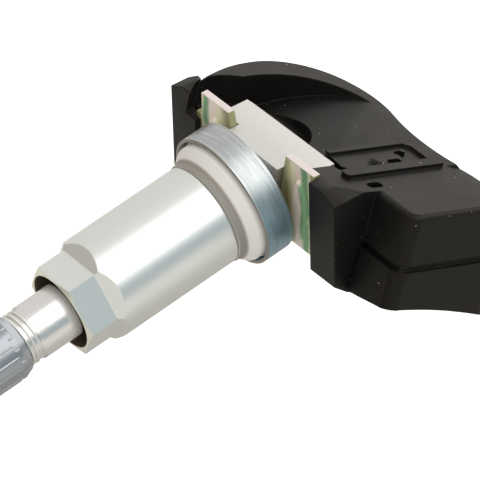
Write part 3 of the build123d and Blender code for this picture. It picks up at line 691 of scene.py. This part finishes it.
def ring_finish(colours):
    """Plated steel with fine turning lines, faint stains, painted bluish shade on its lower right side
    and a brownish front rim.
    """
    f = Finish("turned_ring")
    lines = f.noise(0.10, 3.0, f.stretched(0.012, 1, 0.012), 0.7)
    stains = f.noise(1.6, 3.0, f.stretched(1, 2.0, 1))
    tone = f.mix(lines.step(0.35, 0.7), toned(colours.ring, 0.6), colours.ring)
    tone = f.mix(stains.step(0.5, 0.75) * 0.35, tone, colours.ring_stain)
    # painted shade and bluish painted reflection: the ring's lower right side is toned darker and bluer
    low = (f.x - f.z).step(-1.0, 9.0)
    blue = f.mix(lines.step(0.35, 0.65), toned(colours.ring_shaded_blue, 0.6), colours.ring_shaded_blue)
    side = f.mix(low * 0.85, tone, blue)
    rim = 1 - f.y.step(RING_FRONT + 0.06, RING_FRONT + 0.12)
    return f.set(
        Base_Color=f.mix(rim, side, colours.ring_rim),
        Metallic=1 - low * 0.3,
        Roughness=0.30 + lines * 0.14,
        Normal=f.bump(lines, 0.25, 0.02),
    )


def clip_finish(colours):
    """Yellow-passivated steel, toned by the thickness of its film and by painted highlight and shade,
    with a pale sheared top edge.
    """
    f = Finish("passivated_clip", Metallic=0.2)
    height = seat_height(f)
    cloud = f.noise(2.6, 1.5, f.stretched(1, 1, 0.5))
    fine = f.noise(0.4, 3.0, f.stretched(1, 1, 0.3))
    # the film thickens from the slot to the clip's ends, and is thinner on the left half
    left = 1 - f.x.step(-1.0, 1.0)
    film = (abs(f.x) - CLIP_SLOT) / CLIP_REACH - left * 0.12 + (cloud - 0.5) * 0.25 + (fine - 0.5) * 0.06
    # the stops also paint light: bright pink on the ribs' lit flanks is a painted highlight, dark green
    # on the right rib's far flank and at the left end under the lug is painted shade
    tone = f.ramp(
        film,
        (0.02, colours.clip_olive),
        (0.20, colours.clip_gold),
        (0.34, colours.clip_pink_and_highlight),
        (0.50, colours.clip_pink_and_highlight),
        (0.60, colours.clip_green_and_shade),
        (0.68, colours.clip_green_and_shade),
        (0.76, colours.clip_gold),
        (0.86, colours.clip_olive),
    )
    sheared = height.step(CLIP_TOP, CLIP_TOP + 0.06)
    return f.set(
        Base_Color=f.mix(sheared, tone, colours.clip_edge),
        Roughness=0.36 + fine * 0.10 + sheared * 0.1,
        Normal=f.bump(fine, 0.08, 0.02),
    )


def housing_finish(colours):
    """Black glass-filled plastic with a fine moulded texture, rubbed patches and pale dust specks."""
    warm = (1.0, 0.93, 0.87, 1.0)
    f = Finish("moulded_housing", Specular_IOR_Level=0.18, Specular_Tint=warm)
    texture = f.noise(0.11, 2.0)
    patch = f.noise(4.0, 3.0)
    dust = (f.specks(1.9, 0.10, 0.6) + f.specks(1.1, 0.06, 0.3)).clamped()
    tone = f.mix(patch.step(0.35, 0.75) * 0.6, colours.housing, toned(colours.housing, 1.35))
    return f.set(
        Base_Color=f.mix(dust * 0.8, tone, colours.dust),
        Roughness=0.36 + patch * 0.14 + texture * 0.06,
        Normal=f.bump(texture, 0.20, 0.02),
    )


def plain_metal(name, tint, rough):
    """Drawn or turned metal with fine streaks."""
    f = Finish(name, Metallic=1.0)
    streaks = f.noise(0.08, 3.0, f.stretched(1, 0.2, 1))
    return f.set(
        Base_Color=f.mix(streaks * 0.5, tint, toned(tint, 0.8)),
        Roughness=rough + streaks * 0.12,
        Normal=f.bump(streaks, 0.08, 0.01),
    )


def plain_plastic(name, tint, rough):
    """Moulded plastic or rubber with a fine grain."""
    f = Finish(name)
    grain = f.noise(0.12, 3.0)
    return f.set(
        Base_Color=f.mix(grain * 0.5, tint, toned(tint, 0.75)),
        Roughness=rough + grain * 0.15,
        Normal=f.bump(grain, 0.10, 0.01),
    )


def board_finish(colours):
    """Green solder mask over copper traces, which run along a coarse lattice."""
    f = Finish("solder_mask")
    inputs = {"Vector": f.place, "Scale": 1 / (3 * MM), "Mortar Size": 0.06}
    lattice = f.node("ShaderNodeTexBrick", {"offset": 0.5}, inputs, 1)
    grain = f.noise(0.2, 2.0)
    return f.set(
        Base_Color=f.mix(lattice, colours.board, colours.trace),
        Roughness=0.3 + grain * 0.15,
        Normal=f.bump(lattice, 0.2, 0.03),
    )


class SENSOR_OT_cap(bpy.types.Operator):
    """Valve cap with thin grip ridges and short ticks between them near its rim"""

    bl_idname = "sensor.cap"
    bl_label = "Valve cap"

    def execute(self, context):
        s = context.scene.valve_sizes
        bore = s.cap_bore / MM
        hub, wall, chamfer = 0.3, CAP_R - 0.06, 1.0
        corners = [
            (hub, CAP_ROOF),
            (bore, CAP_ROOF),
            (bore, CAP_RIM),
            (bore + 0.25, CAP_RIM),
            (wall, CAP_RIM - 1.2),
            (wall, CAP_END + chamfer),
            (wall - chamfer, CAP_END),
            (hub, CAP_END),
        ]

        def near_rim(r, y):
            return (r > bore + 0.1) & (y > CAP_RIM - 2.2)

        profile = soft_profile(corners, s.edge_round / MM, closed=False)
        r, y = spread(profile, 0.12, 0.8, near_rim, closed=False).T
        steps = s.ridges * 40
        turn = np.linspace(0, s.ridges, steps, endpoint=False)
        ridge, tick = bead(turn), bead(turn + 0.5)
        outside = r > bore + 0.3
        ridge_end, tick_start, tick_end, slope = CAP_RIM - 1.9, CAP_RIM - 2.0, CAP_RIM - 1.25, 0.12
        long_part = rise(ridge_end - y, slope) * rise(y - CAP_END - 0.6, 0.3) * outside
        short_part = rise(y - tick_start, slope) * rise(tick_end - y, slope) * outside
        height = s.ridge_height / MM
        radius = r[:, None] + height * (long_part[:, None] * ridge + short_part[:, None] * tick)
        mesh = grid_mesh("valve_cap_ribbed", lathe(radius, y, steps), closed=False)
        finish = cap_finish(context.scene.finish_colours)
        place_piece(mesh, finish, "cap", "cap_plastic", "valve_cap")
        return {"FINISHED"}


class SENSOR_OT_stem(bpy.types.Operator):
    """Turned stem with its head, a smooth shank with two lips, and threads for the cap and the nut"""

    bl_idname = "sensor.stem"
    bl_label = "Stem and thread"

    def execute(self, context):
        s = context.scene.valve_sizes
        finish = stem_finish(context.scene.finish_colours, s)
        finish_node("valve_stem", finish, STEM_ROUND)
        start, run, pitch = STEM_TIP + 0.3, s.thread_run / MM, s.thread_pitch / MM
        mesh = thread("stem_thread", start, run, pitch, s.thread_root / MM, s.thread_crest / MM)
        place_piece(mesh, finish, "sensor", "stem_metal")
        start, pitch = STEM_TIP + s.nut_thread_start / MM, s.nut_pitch / MM
        run = NOSE_FRONT - start
        mesh = thread("nut_thread", start, run, pitch, s.nut_root / MM, s.nut_crest / MM)
        place_piece(mesh, finish, "sensor", "stem_metal")
        shank, start = s.shank_radius / MM, STEM_TIP + s.shank_start / MM
        end = start + s.shank_length / MM
        lip = STEM_TIP + s.lip_start / MM
        inner, half, crest = shank - 0.08, 0.08, shank + 0.025
        corners = [(inner, start), (shank, start)]
        for middle in (lip, lip + s.lip_gap / MM):
            corners += [(shank, middle - half), (crest, middle), (shank, middle + half)]
        corners += [(shank, end), (inner, end)]
        r, y = soft_profile(corners, 0.04).T
        mesh = grid_mesh("stem_shank", lathe(r, y, steps=240))
        place_piece(mesh, finish, "sensor", "stem_metal")
        return {"FINISHED"}


class SENSOR_OT_nut(bpy.types.Operator):
    """Collar nut: a smooth sleeve whose outer end is cut by six flats with slanted run-outs"""

    bl_idname = "sensor.nut"
    bl_label = "Collar nut"

    def execute(self, context):
        s = context.scene.valve_sizes
        half = s.hex_across / MM / 2
        mouth, bore, recess = s.mouth_radius / MM, s.nut_bore / MM, s.recess_radius / MM
        shank = NUT_FRONT + s.mouth_depth / MM
        seat = NUT_BACK - s.recess_depth / MM
        corners = [
            (recess, NUT_BACK),
            (SLEEVE_R - 0.35, NUT_BACK),
            (SLEEVE_R, NUT_BACK - 0.35),
            (SLEEVE_R, NUT_FRONT + 0.4),
            (mouth + 0.05, NUT_FRONT),
            (mouth, NUT_FRONT + 0.05),
            (mouth, shank),
            (bore, shank),
            (bore, seat),
            (recess, seat),
        ]
        flat_end = NUT_FRONT + s.flat_length / MM
        run_out, slant, steps = 2.4, 1.08, 360

        def near_flats(r, y):
            return (r > mouth) & (y < flat_end + run_out)

        r, y = spread(soft_profile(corners, s.edge_round / MM), 0.055, 1.2, near_flats).T
        turn = np.linspace(0, 2 * np.pi, steps, endpoint=False)
        # angle from the middle of the nearest flat; the middles are at 30, 90 degrees and so on
        off = turn % np.radians(60) - np.radians(30)
        flat = (half + np.clip(y - flat_end, 0, None) / slant)[:, None] / np.cos(off)
        radius = soft_min(np.repeat(r[:, None], steps, 1), flat, 0.05)
        mesh = grid_mesh("collar_nut_milled", lathe(radius, y, steps))
        finish = nut_finish(context.scene.finish_colours, s)
        nut = place_piece(mesh, finish, "nut", "nut_metal", "collar_nut")
        smooth_faces(nut)
        return {"FINISHED"}


class SENSOR_OT_grommet(bpy.types.Operator):
    """Sealing grommet with a rounded land and a hollow beside the nut"""

    bl_idname = "sensor.grommet"
    bl_label = "Grommet"

    def execute(self, context):
        s = context.scene.valve_sizes
        collar, neck, nose = s.collar_radius / MM, s.neck_radius / MM, s.nose_radius / MM
        front = RING_FRONT - 0.67
        land = front - 1.26
        corners = [
            (collar, GROMMET_BACK),
            (GROMMET_R, GROMMET_BACK),
            (GROMMET_R, RING_FRONT + 0.9),
            (GROMMET_R - 0.3, RING_FRONT + 0.6),
            (GROMMET_R - 0.3, front),
            (neck + 0.15, land + 0.12),
            (neck - 0.2, land - 0.25),
            (neck - 0.28, (land + NUT_BACK) / 2 - 0.1),
            (neck - 0.18, NUT_BACK),
            (nose, NUT_BACK),
            (nose, NOSE_FRONT),
            (collar, NOSE_FRONT),
        ]
        r, y = soft_profile(corners, 0.3, steps=7).T
        mesh = grid_mesh("grommet_moulded", lathe(r, y, steps=240))
        finish = grommet_finish(context.scene.finish_colours, s)
        place_piece(mesh, finish, "sensor", "grey_rubber", "grommet")
        return {"FINISHED"}


class SENSOR_OT_ring(bpy.types.Operator):
    """Steel ring with a rounded rim and two fine grooves round it"""

    bl_idname = "sensor.ring"
    bl_label = "Steel ring"

    def execute(self, context):
        s = context.scene.valve_sizes
        collar, inner = s.collar_radius / MM, RING_R - s.ring_wall / MM
        floor = RING_BACK - s.ring_floor / MM
        corners = [(collar, RING_BACK), (RING_R, RING_BACK)]
        half, depth = 0.09, 0.03
        for groove in (RING_BACK - 0.55, RING_FRONT + 0.5):
            corners += [(RING_R, groove + half), (RING_R - depth, groove), (RING_R, groove - half)]
        corners += [(RING_R, RING_FRONT), (inner, RING_FRONT), (inner, floor), (collar, floor)]
        r, y = soft_profile(corners, s.edge_round / MM).T
        mesh = grid_mesh("seat_ring_turned", lathe(r, y, steps=300))
        finish = ring_finish(context.scene.finish_colours)
        place_piece(mesh, finish, "sensor", "ring_steel", "seat_ring")
        return {"FINISHED"}


class SENSOR_OT_clip(bpy.types.Operator):
    """Passivated retaining clip with its pressed ribs"""

    bl_idname = "sensor.clip"
    bl_label = "Retaining clip"

    def execute(self, context):
        finish_node("retaining_clip", clip_finish(context.scene.finish_colours), CLIP_ROUND)
        return {"FINISHED"}


class SENSOR_OT_housing(bpy.types.Operator):
    """Moulded upper housing and lower cover"""

    bl_idname = "sensor.housing"
    bl_label = "Housing"

    def execute(self, context):
        finish = housing_finish(context.scene.finish_colours)
        finish_node("upper_housing", finish, HOUSING_ROUND)
        finish_node("lower_cover", finish, HOUSING_ROUND)
        return {"FINISHED"}


class SENSOR_OT_core(bpy.types.Operator):
    """Valve core with its spring, the seals, the nut's slip washer and the cell's tabs"""

    bl_idname = "sensor.core"
    bl_label = "Valve core"

    def execute(self, context):
        c = context.scene.finish_colours
        brass = plain_metal("core_brass", c.brass, 0.22)
        rubber = plain_plastic("black_rubber", c.rubber, 0.5)
        steel = plain_metal("spring_steel", c.steel, 0.25)
        for node in ("core_body", "core_pin"):
            finish_node(node, brass)
        for node in ("core_seal", "core_cup", "cap_seal", "port_seal"):
            finish_node(node, rubber)
        for node in ("nut_washer", "tab_negative", "tab_positive"):
            finish_node(node, steel)
        self.spring(context.scene.valve_sizes, steel)
        return {"FINISHED"}

    @staticmethod
    def spring(sizes, steel):
        """Coil spring round the pin, on a mesh of its own. How much of its length it would keep with the
        pin pressed is worked out but not used.
        """
        wire = sizes.spring_wire / MM
        start, end = SPRING_START + wire / 2, SPRING_END - wire / 2
        mesh = coil("core_spring_coiled", start, end, SPRING_R - wire / 2, wire, sizes.spring_turns)
        piece = place_piece(mesh, steel, "sensor", "spring_steel", "core_spring")
        joints = frame["record"]["behaviour"]["joints"]
        press = next(joint for joint in joints if joint["name"] == "pin_press")
        keep = 1 - press["range_m"][1] / MM / (SPRING_END - SPRING_START)
        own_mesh(piece)


class SENSOR_OT_electronics(bpy.types.Operator):
    """Circuit board with its parts, and the coin cell"""

    bl_idname = "sensor.electronics"
    bl_label = "Electronics"

    def execute(self, context):
        c = context.scene.finish_colours
        finish_node("circuit_board", board_finish(c))
        finish_node("coin_cell", plain_metal("cell_steel", c.cell, 0.3))
        finish_node("sensor_chip", plain_plastic("chip_plastic", c.chip, 0.45))
        finish_node("crystal", plain_metal("crystal_can", c.crystal, 0.15))
        finish_node("antenna_coil", plain_plastic("coil_ferrite", c.ferrite, 0.55))
        return {"FINISHED"}


class SENSOR_OT_stage(bpy.types.Operator):
    """Camera, soft overhead light, pale studio walls and floor"""

    bl_idname = "sensor.stage"
    bl_label = "Stage"

    def execute(self, context):
        settings = context.scene.studio_settings
        context.scene.view_settings.view_transform = "Standard"
        self.camera(context, settings)
        self.light(context, settings)
        self.walls(context, settings)
        self.floor(context, settings)
        return {"FINISHED"}

    @staticmethod
    def camera(context, settings):
        """Looks at the valve's seat from above its right, turned a little about the line of sight."""
        right = Vector((0.6116, 0.7733, -0.1671))
        up = Vector((-0.4718, 0.5261, 0.7076))
        place = right.cross(up).normalized() * settings.distance
        aim = right * settings.aim_right - up * settings.aim_down
        back = (place - aim).normalized()
        side = (right - back * right.dot(back)).normalized()
        lens = bpy.data.cameras.new("photo_camera")
        lens.lens = settings.lens
        lens.sensor_width = 36.0
        lens.clip_start, lens.clip_end = 0.01, 20.0
        camera = bpy.data.objects.new("photo_camera", lens)
        axes = Matrix((side, back.cross(side), back)).transposed()
        camera.matrix_world = Matrix.Translation(place) @ axes.to_4x4()
        context.scene.collection.objects.link(camera)
        context.scene.camera = camera

    @staticmethod
    def light(context, settings):
        """A softbox overhead, a little to the right and behind."""
        lamp = bpy.data.lights.new("softbox", "AREA")
        lamp.shape = "RECTANGLE"
        lamp.size, lamp.size_y = 0.42, 0.70
        lamp.energy = settings.key_power
        softbox = bpy.data.objects.new("softbox", lamp)
        toward, distance = Vector((0.47, 0.30, 0.84)).normalized(), 0.65
        turn = toward.to_track_quat("Z", "Y").to_matrix().to_4x4()
        softbox.matrix_world = Matrix.Translation(toward * distance) @ turn
        context.scene.collection.objects.link(softbox)

    @staticmethod
    def walls(context, settings):
        """Pale walls round the object, brighter behind, dim low in front and blue-grey low on the right.

        The camera itself sees white.
        """
        world = bpy.data.worlds.new("studio")
        context.scene.world = world
        world.use_nodes = True
        sheet = Sheet(world.node_tree)
        x, y, z = sheet.split(sheet.node("ShaderNodeTexCoord", output="Generated"))
        front = sheet.mix(z.step(0.12, 0.35), WALL_DIM, WALL_WARM)
        front = sheet.mix(x.step(0.1, 0.4), front, WALL_PALE)
        wall = sheet.mix(y.step(-0.6, 0.1), front, WALL_SIDE)
        wall = sheet.mix(y.step(0.5, 0.8), wall, WALL_BRIGHT)
        level = z / (x * x + z * z).sqrt()
        low_right = level.band(-0.10, 0.40, 0.08) * x.step(0.0, 0.2) * y.step(-0.3, 0.1)
        wall = sheet.mix(low_right, wall, WALL_BLUE)
        background = world.node_tree.nodes["Background"]
        sheet.feed(background.inputs["Color"], sheet.mix(sheet.seen(), wall, WHITE))
        sheet.feed(background.inputs["Strength"], settings.fill)

    @staticmethod
    def floor(context, settings):
        """A wide level plane, pale to light and white to the camera, that keeps the object's shadow,
        with a painted shadow that darkens it near the object.
        """
        z = cad_box[0][2] - settings.floor_drop
        half = 1.5
        corners = [(-half, -half, z), (half, -half, z), (half, half, z), (-half, half, z)]
        mesh = bpy.data.meshes.new("studio_floor")
        mesh.from_pydata(corners, [], [(0, 1, 2, 3)])
        finish = Finish("pale_floor", Roughness=0.9, Emission_Strength=1.0)
        reach = (finish.x * finish.x + finish.y * finish.y).sqrt()
        finish.set(
            # painted shadow: darker within 70 mm of the object, paler out to 260 mm
            Base_Color=finish.mix(reach.step(70.0, 260.0), FLOOR_SHADOWED, FLOOR_FAR),
            Emission_Color=finish.mix(finish.seen(), (0.0, 0.0, 0.0), FLOOR_SEEN),
        )
        mesh.materials.append(finish.material)
        floor = bpy.data.objects.new("studio_floor", mesh)
        context.scene.collection.objects.link(floor)


class SENSOR_PT_panel(bpy.types.Panel):
    """Sidebar list of the sensor's operators"""

    bl_idname = "SENSOR_PT_panel"
    bl_label = "Tyre pressure sensor"
    bl_space_type = "VIEW_3D"
    bl_region_type = "UI"
    bl_category = "Sensor"

    def draw(self, context):
        for operator in OPERATORS:
            self.layout.operator(operator.bl_idname)


GROUPS = {"valve_sizes": ValveSizes, "finish_colours": FinishColours, "studio_settings": StudioSettings}
OPERATORS = (
    SENSOR_OT_stage,
    SENSOR_OT_cap,
    SENSOR_OT_stem,
    SENSOR_OT_nut,
    SENSOR_OT_grommet,
    SENSOR_OT_ring,
    SENSOR_OT_clip,
    SENSOR_OT_housing,
    SENSOR_OT_core,
    SENSOR_OT_electronics,
)


def register():
    """Registers the classes, and gives each scene the property groups."""
    for cls in (*GROUPS.values(), *OPERATORS, SENSOR_PT_panel):
        bpy.utils.register_class(cls)
    for name, group in GROUPS.items():
        setattr(bpy.types.Scene, name, bpy.props.PointerProperty(type=group))


def unregister():
    """Takes the property groups and the classes away again."""
    for name in GROUPS:
        delattr(bpy.types.Scene, name)
    for cls in reversed((*GROUPS.values(), *OPERATORS, SENSOR_PT_panel)):
        bpy.utils.unregister_class(cls)


def main():
    """Builds every piece and the stage."""
    register()
    for operator in OPERATORS:
        getattr(bpy.ops.sensor, operator.bl_idname.split(".")[1])()


if __name__ == "__main__":
    main()
